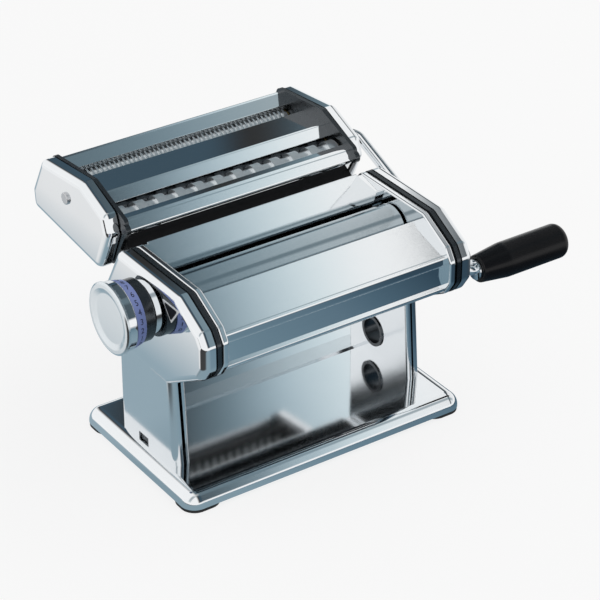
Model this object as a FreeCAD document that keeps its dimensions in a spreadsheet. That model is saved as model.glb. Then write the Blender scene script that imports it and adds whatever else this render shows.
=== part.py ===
import FreeCAD, Part
import Sketcher
import math
import operator
import os

# Pasta roller machine: pressed base, two stands, sheet rollers with a thickness knob,
# a lift-off cutter head at the back and a crank in its right socket.
# Millimetres. X runs along the rollers to the crank, -Y is the front, Z is up from the table.

document = FreeCAD.newDocument("pasta_roller")
sheet = document.addObject("Spreadsheet::Sheet", "sizes")
vector = FreeCAD.Vector
sideways = FreeCAD.Rotation(vector(1, 1, 1), 120)
along_x = FreeCAD.Rotation(vector(0, 1, 0), 90)
operations = {"+": operator.add, "-": operator.sub, "*": operator.mul, "/": operator.truediv}
driven = []
pieces = {}


class Size:
    def __init__(self, value, text):
        self.value = float(value)
        self.text = text

    def __add__(self, other):
        return combined(self, other, "+")

    def __radd__(self, other):
        return combined(other, self, "+")

    def __sub__(self, other):
        return combined(self, other, "-")

    def __rsub__(self, other):
        return combined(other, self, "-")

    def __mul__(self, other):
        return combined(self, other, "*")

    def __rmul__(self, other):
        return combined(other, self, "*")

    def __truediv__(self, other):
        return combined(self, other, "/")

    def __neg__(self):
        return combined(0, self, "-")


def as_size(number):
    if isinstance(number, Size):
        return number
    return Size(number, "(%.9f)" % number)


def combined(first, second, sign):
    first = as_size(first)
    second = as_size(second)
    value = operations[sign](first.value, second.value)
    return Size(value, "(%s %s %s)" % (first.text, sign, second.text))


def drive(alias, value, note):
    driven.append(alias)
    line = str(len(driven))
    sheet.set("A" + line, note)
    sheet.set("B" + line, str(value))
    sheet.setAlias("B" + line, alias)
    return Size(value, "sizes." + alias)


# Base and feet
base_margin = 8.6
base_depth = 116
base_corner = 9
base_rim = 8
base_low = 2
base_top = 11
base_wall = 1.5
foot_length = 24
foot_depth = 22
foot_inset = 0.25
boss_inset = 2.4
base_margin = drive("base_margin", base_margin, "pan edge beyond the right stand")
base_depth = drive("base_depth", base_depth, "base pan front to back")
base_corner = drive("base_corner", base_corner, "plan corner radius of the pan")
base_rim = drive("base_rim", base_rim, "rounding of the top rim")
base_low = drive("base_low", base_low, "height of the pan edge over the table")
base_top = drive("base_top", base_top, "height of the pan top")
base_wall = drive("base_wall", base_wall, "pan sheet")
foot_length = drive("foot_length", foot_length, "rubber foot along X")
foot_depth = drive("foot_depth", foot_depth, "rubber foot along Y")
foot_inset = drive("foot_inset", foot_inset, "foot pad edge inside the pan edge")
boss_inset = drive("boss_inset", boss_inset, "foot boss inside the pan edge")

# Stands
left_in_gap = 4.3
left_out_gap = 3
right_out_gap = 5.4
leg_sheet = 1.2
leg_inner_flange = 2.9
leg_outer_flange = 4.9
leg_bend = 4.4
leg_fold = 2
leg_rear = 33
leg_front_low = 27
leg_front_high = 22.5
leg_gap = 0.5
notch_length = 10
notch_depth = 3
strap_wide = 12
clamp_radius = 8
clamp_place = 8.8
clamp_high = 27.2
eyelet_wall = 0.8
eyelet_lip = 2
tongue_front = 17
tongue_rear = 29
tongue_foot = 4
screw_radius = 1.6
screw_head = 3
left_in_gap = drive("left_in_gap", left_in_gap, "left inner sheet from the side plate")
left_out_gap = drive("left_out_gap", left_out_gap, "left outer sheet from the side plate")
right_out_gap = drive("right_out_gap", right_out_gap, "right outer sheet from the side plate")
leg_sheet = drive("leg_sheet", leg_sheet, "stand sheet")
leg_inner_flange = drive("leg_inner_flange", leg_inner_flange, "flange depth of the inner sheet")
leg_outer_flange = drive("leg_outer_flange", leg_outer_flange, "flange depth of the outer sheet")
leg_bend = drive("leg_bend", leg_bend, "outside bend radius of an outer sheet")
leg_fold = drive("leg_fold", leg_fold, "outside bend radius of an inner sheet")
leg_rear = drive("leg_rear", leg_rear, "rear edge of the stands")
leg_front_low = drive("leg_front_low", leg_front_low, "front edge at the base")
leg_front_high = drive("leg_front_high", leg_front_high, "front edge at the top")
leg_gap = drive("leg_gap", leg_gap, "gap under the end covers")
notch_length = drive("notch_length", notch_length, "notch in the outer sheet")
notch_depth = drive("notch_depth", notch_depth, "notch height")
strap_wide = drive("strap_wide", strap_wide, "flat strap between the stands")
clamp_radius = drive("clamp_radius", clamp_radius, "clear radius of the clamp hole")
clamp_place = drive("clamp_place", clamp_place, "clamp hole behind the middle")
clamp_high = drive("clamp_high", clamp_high, "clamp hole over the table")
eyelet_wall = drive("eyelet_wall", eyelet_wall, "eyelet tube wall")
eyelet_lip = drive("eyelet_lip", eyelet_lip, "eyelet flange width")
tongue_front = drive("tongue_front", tongue_front, "front edge of the side plate tongue")
tongue_rear = drive("tongue_rear", tongue_rear, "rear edge of the side plate tongue")
tongue_foot = drive("tongue_foot", tongue_foot, "foot flange of the tongue")
screw_radius = drive("screw_radius", screw_radius, "base screw shank")
screw_head = drive("screw_head", screw_head, "base screw head")

# End profile of the body
end_top = 130.5
end_top_rear = 20
end_top_front = 41
end_slant = 63
end_slant_high = 118.5
end_nose = 68
end_nose_high = 111
end_nose_low = 97
end_chin = 62.5
end_chin_high = 88.5
end_low = 68.5
end_low_front = 28
end_rear = 34
end_rear_high = 106
end_round = 5.5
step_share = 0.965
end_gap = 1
liner_wall = 4
seam = 1
plate_wall = 2.5
cover_deep = 8
cover_wall = 2
cover_round = 4.5
sheet_wall = 1.2
edge_round = 1.1
end_top = drive("end_top", end_top, "top of the end plates")
end_top_rear = drive("end_top_rear", end_top_rear, "rear end of the top edge")
end_top_front = drive("end_top_front", end_top_front, "front end of the top edge")
end_slant = drive("end_slant", end_slant, "lower end of the front slant")
end_slant_high = drive("end_slant_high", end_slant_high, "height of that end")
end_nose = drive("end_nose", end_nose, "foremost edge")
end_nose_high = drive("end_nose_high", end_nose_high, "upper end of the nose")
end_nose_low = drive("end_nose_low", end_nose_low, "lower end of the nose")
end_chin = drive("end_chin", end_chin, "chin corner")
end_chin_high = drive("end_chin_high", end_chin_high, "height of the chin corner")
end_low = drive("end_low", end_low, "lower edge")
end_low_front = drive("end_low_front", end_low_front, "front end of the lower edge")
end_rear = drive("end_rear", end_rear, "rear edge")
end_rear_high = drive("end_rear_high", end_rear_high, "upper end of the rear edge")
end_round = drive("end_round", end_round, "corner radius of the end profile")
step_share = drive("step_share", step_share, "share of the profile left on the step beside a seam")
end_gap = drive("end_gap", end_gap, "roller barrel end to liner")
liner_wall = drive("liner_wall", liner_wall, "liner")
seam = drive("seam_gap", seam, "seam between liner, plate and cover")
plate_wall = drive("plate_wall", plate_wall, "side plate")
cover_deep = drive("cover_deep", cover_deep, "depth of an end cover")
cover_wall = drive("cover_wall", cover_wall, "end cover wall")
cover_round = drive("cover_round", cover_round, "rounding of the cover edge")
sheet_wall = drive("sheet_wall", sheet_wall, "sheet of the body panels")
edge_round = drive("edge_round", edge_round, "rounding of the liner edges")

# Sheet rollers
roller_radius = 13.6
roller_half = 72.5
roller_y = 14.4
roller_z = 110.8
roller_tilt = 30
gap_rest = 2.9
gap_least = 0.6
gap_most = 4.8
journal = 6
fit = 0.05
clear = 0.3
bush_wall = 3
block_half = 8.5
gear_wide = 5
gear_teeth = 14
tooth_tip = 2.3
tooth_root = 3
socket_radius = 2.65
key_wide = 1.6
key_deep = 0.8
socket_deep = 18
roller_radius = drive("roller_radius", roller_radius, "sheet roller")
roller_half = drive("roller_half", roller_half, "half of the roller barrel")
roller_y = drive("roller_y", roller_y, "front roller axis before the middle")
roller_z = drive("roller_z", roller_z, "front roller axis height")
roller_tilt = drive("roller_tilt", roller_tilt, "slope of the line between the axes in degrees")
gap_rest = drive("gap_rest", gap_rest, "roller gap at setting four")
gap_least = drive("gap_least", gap_least, "roller gap at the finest setting")
gap_most = drive("gap_most", gap_most, "roller gap at the widest setting")
journal = drive("journal_radius", journal, "sheet roller journal radius")
fit = drive("shaft_fit", fit, "running clearance of a shaft")
clear = drive("clear_gap", clear, "clearance of sliding and passing pieces")
bush_wall = drive("bush_wall", bush_wall, "wall of a roller bush")
block_half = drive("block_half", block_half, "half side of a bearing block")
gear_wide = drive("gear_wide", gear_wide, "gear width")
gear_teeth = drive("gear_teeth", gear_teeth, "teeth of a roller gear")
tooth_tip = drive("tooth_tip", tooth_tip, "tooth height over the pitch circle")
tooth_root = drive("tooth_root", tooth_root, "tooth depth under the pitch circle")
socket_radius = drive("socket_radius", socket_radius, "crank socket bore")
key_wide = drive("key_wide", key_wide, "key slot width of a socket")
key_deep = drive("key_deep", key_deep, "key slot depth over the bore")
socket_deep = drive("socket_deep", socket_deep, "depth of a socket")

# Knob
knob_reach = 23
knob_face_radius = 21
knob_face_deep = 2
collar_radius = 20.1
collar_deep = 5.2
dial_radius = 19.9
dial_small = 18.5
dial_deep = 6.1
core_radius = 18
core_step = 16.8
core_deep = 20
core_floor = 4
core_room = 11
core_cap = 1.5
shaft_radius = 5
shaft_flange = 9
flange_wall = 1.5
cam_radius = 9
cam_offset = 1.5
cam_wide = 3
spring_inner = 6
spring_outer = 8.5
spring_long = 5
seat_radius = 15.5
seat_wide = 2
seat_deep = 1.6
mark_size = 13.5
mark_tall = 8.6
mark_y = 28
mark_z = 5.5
mark_deep = 0.5
knob_y = 8.6
knob_z = 108.9
knob_reach = drive("knob_reach", knob_reach, "knob face from the left cover")
knob_face_radius = drive("knob_face_radius", knob_face_radius, "dished face")
knob_face_deep = drive("knob_face_deep", knob_face_deep, "thickness of the face rim")
collar_radius = drive("collar_radius", collar_radius, "bright band")
collar_deep = drive("collar_deep", collar_deep, "bright band width")
dial_radius = drive("dial_radius", dial_radius, "large end of the dial ring")
dial_small = drive("dial_small", dial_small, "small end of the dial ring")
dial_deep = drive("dial_deep", dial_deep, "dial ring width")
core_radius = drive("core_radius", core_radius, "core of the knob")
core_step = drive("core_step", core_step, "seat of the dial ring")
core_deep = drive("core_deep", core_deep, "knob from face to inner end")
core_floor = drive("core_floor", core_floor, "floor of the core on the shaft")
core_room = drive("core_room", core_room, "radius of the spring room")
core_cap = drive("core_cap", core_cap, "closed end of the core")
shaft_radius = drive("shaft_radius", shaft_radius, "regulator shaft")
shaft_flange = drive("shaft_flange", shaft_flange, "end flange of the shaft")
flange_wall = drive("flange_wall", flange_wall, "end flange thickness")
cam_radius = drive("cam_radius", cam_radius, "regulator cam")
cam_offset = drive("cam_offset", cam_offset, "eccentric throw")
cam_wide = drive("cam_wide", cam_wide, "cam width")
spring_inner = drive("spring_inner", spring_inner, "knob spring inner radius")
spring_outer = drive("spring_outer", spring_outer, "knob spring outer radius")
spring_long = drive("spring_long", spring_long, "compressed length of the knob spring")
seat_radius = drive("seat_radius", seat_radius, "seat ring on the cover")
seat_wide = drive("seat_wide", seat_wide, "seat ring width")
seat_deep = drive("seat_deep", seat_deep, "seat ring thickness")
mark_size = drive("mark_size", mark_size, "width of the index mark")
mark_tall = drive("mark_tall", mark_tall, "height of the index mark")
mark_y = drive("mark_y", mark_y, "tip of the index mark before the knob axis")
mark_z = drive("mark_z", mark_z, "tip of the index mark over the knob axis")
mark_deep = drive("mark_deep", mark_deep, "index mark thickness")
knob_y = drive("knob_y", knob_y, "knob axis before the middle")
knob_z = drive("knob_z", knob_z, "knob axis height")

# Body panels
rail_reach = 5
rail_wide = 8
rail_long = 9
rail_inset = 16.5
slope_top_y = 20.6
slope_top_z = 127.5
slope_low_y = 33.2
slope_low_z = 105.8
rear_low = 70
tie_radius = 4
tie_neck = 3
cheek_wide = 3
rail_reach = drive("rail_reach", rail_reach, "guide rail over the rear cover")
rail_wide = drive("rail_wide", rail_wide, "guide rail width")
rail_long = drive("rail_long", rail_long, "guide rail length")
rail_inset = drive("rail_inset", rail_inset, "guide rail from the end of the rollers")
slope_top_y = drive("slope_top_y", slope_top_y, "top of the rear slope")
slope_top_z = drive("slope_top_z", slope_top_z, "height of that edge")
slope_low_y = drive("slope_low_y", slope_low_y, "foot of the rear slope")
slope_low_z = drive("slope_low_z", slope_low_z, "height of that bend")
rear_low = drive("rear_low", rear_low, "lower edge of the rear cover")
tie_radius = drive("tie_radius", tie_radius, "tie rod")
tie_neck = drive("tie_neck", tie_neck, "tie rod neck")
cheek_wide = drive("cheek_wide", cheek_wide, "dough guide beside the hopper panel")

# Cutter head
cutter_plate_wall = 2.5
cutter_seam = 0.7
cutter_cover_deep = 8.3
cutter_sheet = 1
cutter_span = 10.9
cutter_tip = 8.3
cutter_root = 6.4
cutter_apart = 15
cutter_rise = 3.5
cutter_journal = 4.2
cutter_bush = 6
cutter_teeth = 10
cutter_tooth_tip = 1.3
cutter_tooth_root = 1.7
nip_back = 24.2738
nip_apart = 37.7
wide_period = 13
narrow_period = 3
ring_gap = 0.4
screw_back = 5.25
screw_rise = 5.4
cover_screw = 2
cover_screw_head = 3.6
cover_screw_deep = 1.4
tie_drop = 13
hook_wall = 2
boss_radius = 3.4
plate_down = 30.5
back_reach = 14.8
back_rise = 15.8
back_bend = 1.5
cutter_plate_wall = drive("cutter_plate_wall", cutter_plate_wall, "cutter side plate")
cutter_seam = drive("cutter_seam", cutter_seam, "seam between cutter plate and cover")
cutter_cover_deep = drive("cutter_cover_deep", cutter_cover_deep, "depth of a cutter cover")
cutter_sheet = drive("cutter_sheet", cutter_sheet, "sheet of the cutter panels")
cutter_span = drive("cutter_span", cutter_span, "cutter front panel from the rear slope")
cutter_tip = drive("cutter_tip", cutter_tip, "cutter ring radius")
cutter_root = drive("cutter_root", cutter_root, "cutter core radius")
cutter_apart = drive("cutter_apart", cutter_apart, "distance of paired cutter axes")
cutter_rise = drive("cutter_rise", cutter_rise, "cutter axes over the rear slope")
cutter_journal = drive("cutter_journal", cutter_journal, "cutter journal radius")
cutter_bush = drive("cutter_bush", cutter_bush, "cutter bush outer radius")
cutter_teeth = drive("cutter_teeth", cutter_teeth, "teeth of a cutter gear")
cutter_tooth_tip = drive("cutter_tooth_tip", cutter_tooth_tip, "cutter tooth height")
cutter_tooth_root = drive("cutter_tooth_root", cutter_tooth_root, "cutter tooth depth")
nip_back = drive("nip_back", nip_back, "middle of the wide pair behind the cutter front panel")
nip_apart = drive("nip_apart", nip_apart, "distance of the two cutter pairs")
wide_period = drive("wide_period", wide_period, "ring spacing of the wide cutters")
narrow_period = drive("narrow_period", narrow_period, "ring spacing of the narrow cutters")
ring_gap = drive("ring_gap", ring_gap, "side clearance between paired rings")
screw_back = drive("screw_back", screw_back, "left cover screw behind the lower tie rod")
screw_rise = drive("screw_rise", screw_rise, "left cover screw over the cutter axes")
cover_screw = drive("cover_screw", cover_screw, "cover screw shank")
cover_screw_head = drive("cover_screw_head", cover_screw_head, "cover screw head")
cover_screw_deep = drive("cover_screw_deep", cover_screw_deep, "cover screw head height")
tie_drop = drive("tie_drop", tie_drop, "lower tie rod under the cutter axes")
hook_wall = drive("hook_wall", hook_wall, "hook cheek")
boss_radius = drive("boss_radius", boss_radius, "round boss at the front of a cutter plate")
plate_down = drive("plate_down", plate_down, "cutter plate along the rear slope")
back_reach = drive("back_reach", back_reach, "top edge of the back panel behind the narrow pair")
back_rise = drive("back_rise", back_rise, "top edge of the back panel over the cutter axes")
back_bend = drive("back_bend", back_bend, "bend of the top edge")

# Crank
crank_radius = 3.25
crank_offset = 13.5
crank_bend = 6
grip_y = 49
grip_z = 87.2
grip_long = 62.4
grip_radius = 10.5
grip_small = 8.2
grip_taper = 19
grip_pin = 2.4
collar_wall = 1.4
crank_radius = drive("crank_radius", crank_radius, "crank rod")
crank_offset = drive("crank_offset", crank_offset, "crank arm from the right cutter cover")
crank_bend = drive("crank_bend", crank_bend, "bend radius of the rod")
grip_y = drive("grip_y", grip_y, "grip axis before the middle")
grip_z = drive("grip_z", grip_z, "grip axis height")
grip_long = drive("grip_long", grip_long, "grip length")
grip_radius = drive("grip_radius", grip_radius, "grip")
grip_small = drive("grip_small", grip_small, "grip at its inner end")
grip_taper = drive("grip_taper", grip_taper, "length of the grip taper")
grip_pin = drive("grip_pin", grip_pin, "pin in the grip")
collar_wall = drive("collar_wall", collar_wall, "washer before the grip")
document.recompute()


def bind(piece, field, size):
    piece.setExpression(field, as_size(size).text)


def place(piece, x, y, z):
    bind(piece, "Placement.Base.x", x)
    bind(piece, "Placement.Base.y", y)
    bind(piece, "Placement.Base.z", z)


def corner_ends(before, corner, after, radius):
    into = (before - corner).normalize()
    out = (after - corner).normalize()
    half = math.acos(max(-1, min(1, into.dot(out)))) / 2
    reach = radius / math.tan(half)
    middle = corner + (into + out).normalize() * (radius / math.sin(half))
    return corner + into * reach, corner + out * reach, middle


def draw(sketch, corners, closed=True):
    points = [vector(as_size(c[0]).value, as_size(c[1]).value, 0) for c in corners]
    count = len(points)
    starts = list(points)
    ends = list(points)
    arcs = {}
    for place_no, corner in enumerate(corners):
        if len(corner) < 3:
            continue
        before = points[place_no - 1]
        after = points[(place_no + 1) % count]
        radius = as_size(corner[2]).value
        start, end, middle = corner_ends(before, points[place_no], after, radius)
        starts[place_no] = start
        ends[place_no] = end
        left = (points[place_no] - before).cross(after - points[place_no]).z > 0
        arcs[place_no] = (middle, radius, left)
    line_count = count if closed else count - 1
    shapes = []
    for line in range(line_count):
        shapes.append(Part.LineSegment(ends[line], starts[(line + 1) % count]))
    arc_index = {}
    for place_no, (middle, radius, left) in arcs.items():
        first = starts[place_no] if left else ends[place_no]
        last = ends[place_no] if left else starts[place_no]
        from_angle = math.atan2(first.y - middle.y, first.x - middle.x)
        to_angle = math.atan2(last.y - middle.y, last.x - middle.x)
        circle = Part.Circle(middle, vector(0, 0, 1), radius)
        arc_index[place_no] = len(shapes)
        shapes.append(Part.ArcOfCircle(circle, from_angle, to_angle))
    sketch.addGeometry(shapes, False)
    point_index = {}
    for place_no in arcs:
        point_index[place_no] = sketch.addGeometry(Part.Point(points[place_no]), True)
    rules = []
    bound = []

    def rule(*values):
        rules.append(Sketcher.Constraint(*values))
        return len(rules) - 1

    def pin(shape_index, end, corner):
        for kind, size in (("DistanceX", corner[0]), ("DistanceY", corner[1])):
            size = as_size(size)
            bound.append((rule(kind, -1, 1, shape_index, end, size.value), size))

    for place_no, corner in enumerate(corners):
        before = place_no - 1 if place_no else line_count - 1
        if not closed and place_no == 0:
            pin(0, 1, corner)
        elif not closed and place_no == count - 1:
            pin(place_no - 1, 2, corner)
        elif place_no in arcs:
            arc = arc_index[place_no]
            left = arcs[place_no][2]
            rule("Tangent", before, 2, arc, 1 if left else 2)
            rule("Tangent", arc, 2 if left else 1, place_no, 1)
            radius = as_size(corner[2])
            bound.append((rule("Radius", arc, radius.value), radius))
            pin(point_index[place_no], 1, corner)
            rule("PointOnObject", point_index[place_no], 1, before)
            rule("PointOnObject", point_index[place_no], 1, place_no)
        else:
            rule("Coincident", before, 2, place_no, 1)
            pin(place_no, 1, corner)
    sketch.addConstraint(rules)
    for index, size in bound:
        sketch.setExpression("Constraints[%d]" % index, size.text)


def side_sketch(label, corners, x, closed=True):
    sketch = document.addObject("Sketcher::SketchObject", label + "_section")
    sketch.Placement = FreeCAD.Placement(vector(as_size(x).value, 0, 0), sideways)
    draw(sketch, corners, closed)
    bind(sketch, "Placement.Base.x", x)
    return sketch


def raised(label, base, length):
    solid = document.addObject("Part::Extrusion", label)
    solid.Base = base
    solid.DirMode = "Normal"
    solid.Solid = True
    bind(solid, "LengthFwd", length)
    return solid


def slab(label, corners, x_from, x_to):
    return raised(label, side_sketch(label, corners, x_from), x_to - x_from)


def bent(label, corners, wall, x_from, x_to):
    thick = document.addObject("Part::Offset2D", label + "_sheet")
    thick.Source = side_sketch(label, corners, x_from, False)
    thick.Fill = True
    bind(thick, "Value", wall / 2)
    return raised(label, thick, x_to - x_from)


def flat_plate(label, corners, z_from, z_to):
    sketch = document.addObject("Sketcher::SketchObject", label + "_plan")
    draw(sketch, corners)
    bind(sketch, "Placement.Base.z", z_from)
    return raised(label, sketch, z_to - z_from)


def block(label, x_from, x_to, y_from, y_to, z_from, z_to):
    solid = document.addObject("Part::Box", label)
    bind(solid, "Length", as_size(x_to) - x_from)
    bind(solid, "Width", as_size(y_to) - y_from)
    bind(solid, "Height", as_size(z_to) - z_from)
    place(solid, x_from, y_from, z_from)
    return solid


def tilted(label, x_from, x_to, across, up, y, z, degrees):
    cosine = math.cos(math.radians(degrees))
    sine = math.sin(math.radians(degrees))
    solid = document.addObject("Part::Box", label)
    bind(solid, "Length", as_size(x_to) - x_from)
    bind(solid, "Width", as_size(across[1]) - across[0])
    bind(solid, "Height", as_size(up[1]) - up[0])
    solid.Placement = FreeCAD.Placement(vector(), FreeCAD.Rotation(vector(1, 0, 0), degrees))
    base_y = y + cosine * as_size(across[0]) - sine * as_size(up[0])
    base_z = z + sine * as_size(across[0]) + cosine * as_size(up[0])
    place(solid, x_from, base_y, base_z)
    return solid


def rod(label, radius, x_from, x_to, y, z):
    solid = document.addObject("Part::Cylinder", label)
    solid.Placement = FreeCAD.Placement(vector(), along_x)
    bind(solid, "Radius", radius)
    bind(solid, "Height", as_size(x_to) - x_from)
    place(solid, x_from, y, z)
    return solid


def post(label, radius, x, y, z_from, z_to):
    solid = document.addObject("Part::Cylinder", label)
    bind(solid, "Radius", radius)
    bind(solid, "Height", as_size(z_to) - z_from)
    place(solid, x, y, z_from)
    return solid


def fused(label, shapes):
    solid = document.addObject("Part::MultiFuse", label)
    solid.Shapes = shapes
    return solid


def without(label, base, tools):
    solid = document.addObject("Part::Cut", label)
    solid.Base = base
    solid.Tool = tools[0] if len(tools) == 1 else fused(label + "_tools", tools)
    return solid


def group(label, shapes):
    solid = document.addObject("Part::Compound", label)
    solid.Links = shapes
    return solid


def feature(label, shape, x, y, z):
    solid = document.addObject("Part::Feature", label)
    solid.Shape = shape
    solid.Placement = FreeCAD.Placement(vector(x, y, z), FreeCAD.Rotation())
    return solid


def origin_plane(body, role):
    for plane in body.Origin.OriginFeatures:
        if plane.Role == role:
            return plane


def body_sketch(body, role, corners=None):
    sketch = body.newObject("Sketcher::SketchObject", body.Label + "_sketch")
    sketch.AttachmentSupport = (origin_plane(body, role), [""])
    sketch.MapMode = "FlatFace"
    if corners:
        draw(sketch, corners)
    return sketch


def turned(label, corners, y, z):
    body = document.addObject("PartDesign::Body", label)
    sketch = body_sketch(body, "XY_Plane", corners)
    spun = body.newObject("PartDesign::Revolution", label + "_turned")
    spun.Profile = sketch
    spun.ReferenceAxis = (sketch, ["H_Axis"])
    spun.Angle = 360
    place(body, 0, y, z)
    return body


def edges_near(shape, test):
    found = []
    for number, edge in enumerate(shape.Edges, 1):
        if test(edge.BoundBox):
            found.append(number)
    return found


def softened(label, base, radius, test):
    document.recompute()
    solid = document.addObject("Part::Fillet", label)
    solid.Base = base
    solid.Edges = [(number, radius.value, radius.value) for number in edges_near(base.Shape, test)]
    return solid


def edged(label, corners, x_from, x_to):
    blank = slab(label + "_blank", corners, x_from, x_to)
    return softened(label, blank, edge_round, lambda box: box.XLength < 1e-6)


def cover(label, corners, x_open, x_face, holes):
    outward = x_face.value > x_open.value
    start, end = (x_open, x_face) if outward else (x_face, x_open)
    blank = slab(label + "_blank", corners, start, end)
    face_x = x_face.value
    rounded = softened(
        label + "_rounded", blank, cover_round,
        lambda box: abs(box.XMin - face_x) < 1e-6 and abs(box.XMax - face_x) < 1e-6)
    room_start = start - 1 if outward else start + cover_wall
    inset = document.addObject("Part::Offset2D", label + "_inset")
    inset.Source = side_sketch(label + "_room", corners, room_start)
    bind(inset, "Value", -cover_wall)
    room = raised(label + "_room", inset, end - start - cover_wall + 1)
    drills = [room]
    for number, (radius, y, z) in enumerate(holes):
        drills.append(rod("%s_hole_%d" % (label, number), radius, start - 1, end + 1, y, z))
    return without(label, rounded, drills)


def scaled(corners, y, z, share):
    result = []
    for corner in corners:
        moved = (y + (corner[0] - y) * share, z + (corner[1] - z) * share)
        result.append(moved + tuple(corner[2:]))
    return result


def keep(piece):
    pieces[piece.Label] = piece
    return piece


# Derived places
zero = as_size(0)
liner_in = roller_half + end_gap
plate_in = liner_in + liner_wall + seam
plate_out = plate_in + plate_wall
cover_in = plate_out + seam
cover_out = cover_in + cover_deep
left_leg_in = plate_in - left_in_gap
left_leg_out = plate_out + left_out_gap
right_leg_in = plate_in - leg_sheet
right_leg_out = plate_out + right_out_gap
base_length = 2 * (right_leg_out + base_margin)
hopper_half = liner_in - cheek_wide
rail_place = roller_half - rail_inset
knob_end = cover_out + knob_reach
axis_cos = math.cos(math.radians(roller_tilt.value))
axis_sin = math.sin(math.radians(roller_tilt.value))
front_y = -roller_y
front_z = roller_z
axis_apart = 2 * roller_radius + gap_rest
rear_y = front_y + axis_apart * axis_cos
rear_z = front_z - axis_apart * axis_sin
slope_run = slope_low_y.value - slope_top_y.value
slope_rise = slope_top_z.value - slope_low_z.value
slope_length = math.hypot(slope_run, slope_rise)
slope_y = slope_rise / slope_length
slope_z = slope_run / slope_length
slope_degrees = math.degrees(math.atan2(slope_run, slope_rise))

end_corners = [
    (end_top_rear, end_top, end_round),
    (-end_top_front, end_top, end_round),
    (-end_slant, end_slant_high, end_round),
    (-end_nose, end_nose_high, end_round),
    (-end_nose, end_nose_low, end_round),
    (-end_chin, end_chin_high, end_round),
    (-end_low_front, end_low, end_round),
    (end_rear, end_low, end_round),
    (end_rear, end_rear_high, end_round),
]
end_middle_y = (end_rear - end_nose) / 2
end_middle_z = (end_top + end_low) / 2
end_step = scaled(end_corners, end_middle_y, end_middle_z, step_share)

# Base pan
half_length = base_length / 2
half_depth = base_depth / 2


def plan(x_from, x_to, y_from, y_to, radius):
    return [
        (x_from, y_from, radius),
        (x_to, y_from, radius),
        (x_to, y_to, radius),
        (x_from, y_to, radius),
    ]


base = document.addObject("PartDesign::Body", "base_pan")
base_pad = base.newObject("PartDesign::Pad", "base_pad")
base_pad.Profile = body_sketch(
    base, "XY_Plane", plan(-half_length, half_length, -half_depth, half_depth, base_corner))
bind(base_pad, "Length", base_top - base_low)
document.recompute()
pan_depth = base_top.value - base_low.value
rim_edges = edges_near(base_pad.Shape, lambda box: box.ZMin > pan_depth - 1e-6)
base_rounding = base.newObject("PartDesign::Fillet", "base_rounding")
base_rounding.Base = (base_pad, ["Edge%d" % number for number in rim_edges])
bind(base_rounding, "Radius", base_rim)
document.recompute()
floor_face = []
for number, face in enumerate(base_rounding.Shape.Faces, 1):
    if face.BoundBox.ZMax < 1e-6:
        floor_face.append("Face%d" % number)
base_hollow = base.newObject("PartDesign::Thickness", "base_hollow")
base_hollow.Base = (base_rounding, floor_face)
base_hollow.Reversed = True
base_hollow.Join = "Intersection"
bind(base_hollow, "Value", base_wall)
base.Tip = base_hollow
bind(base, "Placement.Base.z", base_low)

# Base screws stand in the foot flanges of the side plates.
base_ceiling = base_top - base_wall
flange_top = base_top + plate_wall
screw_x = plate_in + tongue_foot / 2
screw_holes = []
screws = []
for side_name, side in (("left", -1), ("right", 1)):
    for end_name, y in (("front", -tongue_front / 2), ("back", tongue_rear * 0.75)):
        name = "base_screw_%s_%s" % (side_name, end_name)
        screw_holes.append(post(name + "_hole", screw_radius, side * screw_x, y, zero, flange_top + 1))
        shank = post(name + "_shank", screw_radius, side * screw_x, y, base_ceiling, flange_top)
        head = post(name + "_head", screw_head, side * screw_x, y, base_ceiling - 1.6, base_ceiling)
        screws.append(fused(name, [shank, head]))
keep(without("base_plate", base, screw_holes))
keep(group("base_screws", screws))


def foot_plan(x_side, y_side, inset):
    far_x = x_side * (half_length - inset)
    near_x = x_side * (half_length - foot_length)
    far_y = y_side * (half_depth - inset)
    near_y = y_side * (half_depth - foot_depth)
    x_pair = (far_x, near_x) if x_side < 0 else (near_x, far_x)
    y_pair = (far_y, near_y) if y_side < 0 else (near_y, far_y)
    return plan(x_pair[0], x_pair[1], y_pair[0], y_pair[1], base_corner - inset)


feet = []
for x_name, x_side in (("left", -1), ("right", 1)):
    for y_name, y_side in (("front", -1), ("back", 1)):
        name = "foot_%s_%s" % (x_name, y_name)
        pad = flat_plate(name + "_pad", foot_plan(x_side, y_side, foot_inset), zero, base_low)
        boss = flat_plate(name + "_boss", foot_plan(x_side, y_side, boss_inset), zero, base_top - base_rim + 2)
        feet.append(fused(name, [pad, boss]))
keep(group("rubber_feet", feet))

# Stands: an inner and an outer folded sheet on each side
leg_top = end_low - leg_gap


def leg_piece(label, web, edge, bend_radius, cuts):
    outward = web.value > edge.value
    low, high = (edge, web) if outward else (web, edge)
    corners = [
        (leg_rear, base_top),
        (leg_rear, leg_top),
        (-leg_front_high, leg_top),
        (-leg_front_low, base_top),
    ]
    blank = slab(label + "_blank", corners, low, high)
    web_x = web.value
    folded = softened(
        label + "_folded", blank, bend_radius,
        lambda box: abs(box.XMin - web_x) < 1e-6 and abs(box.XMax - web_x) < 1e-6 and box.ZLength > 20)
    inside = [
        (leg_rear - leg_sheet, base_top - 1),
        (leg_rear - leg_sheet, leg_top + 1),
        (-leg_front_high + leg_sheet, leg_top + 1),
        (-leg_front_low + leg_sheet, base_top - 1),
    ]
    if outward:
        hollow = slab(label + "_inside", inside, low - 1, high - leg_sheet)
        floor_x = (high - leg_sheet).value
    else:
        hollow = slab(label + "_inside", inside, low + leg_sheet, high + 1)
        floor_x = (low + leg_sheet).value
    room = softened(
        label + "_room", hollow, bend_radius - leg_sheet,
        lambda box: abs(box.XMin - floor_x) < 1e-6 and abs(box.XMax - floor_x) < 1e-6 and box.ZLength > 20)
    return keep(without(label, folded, [room] + cuts))


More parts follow.
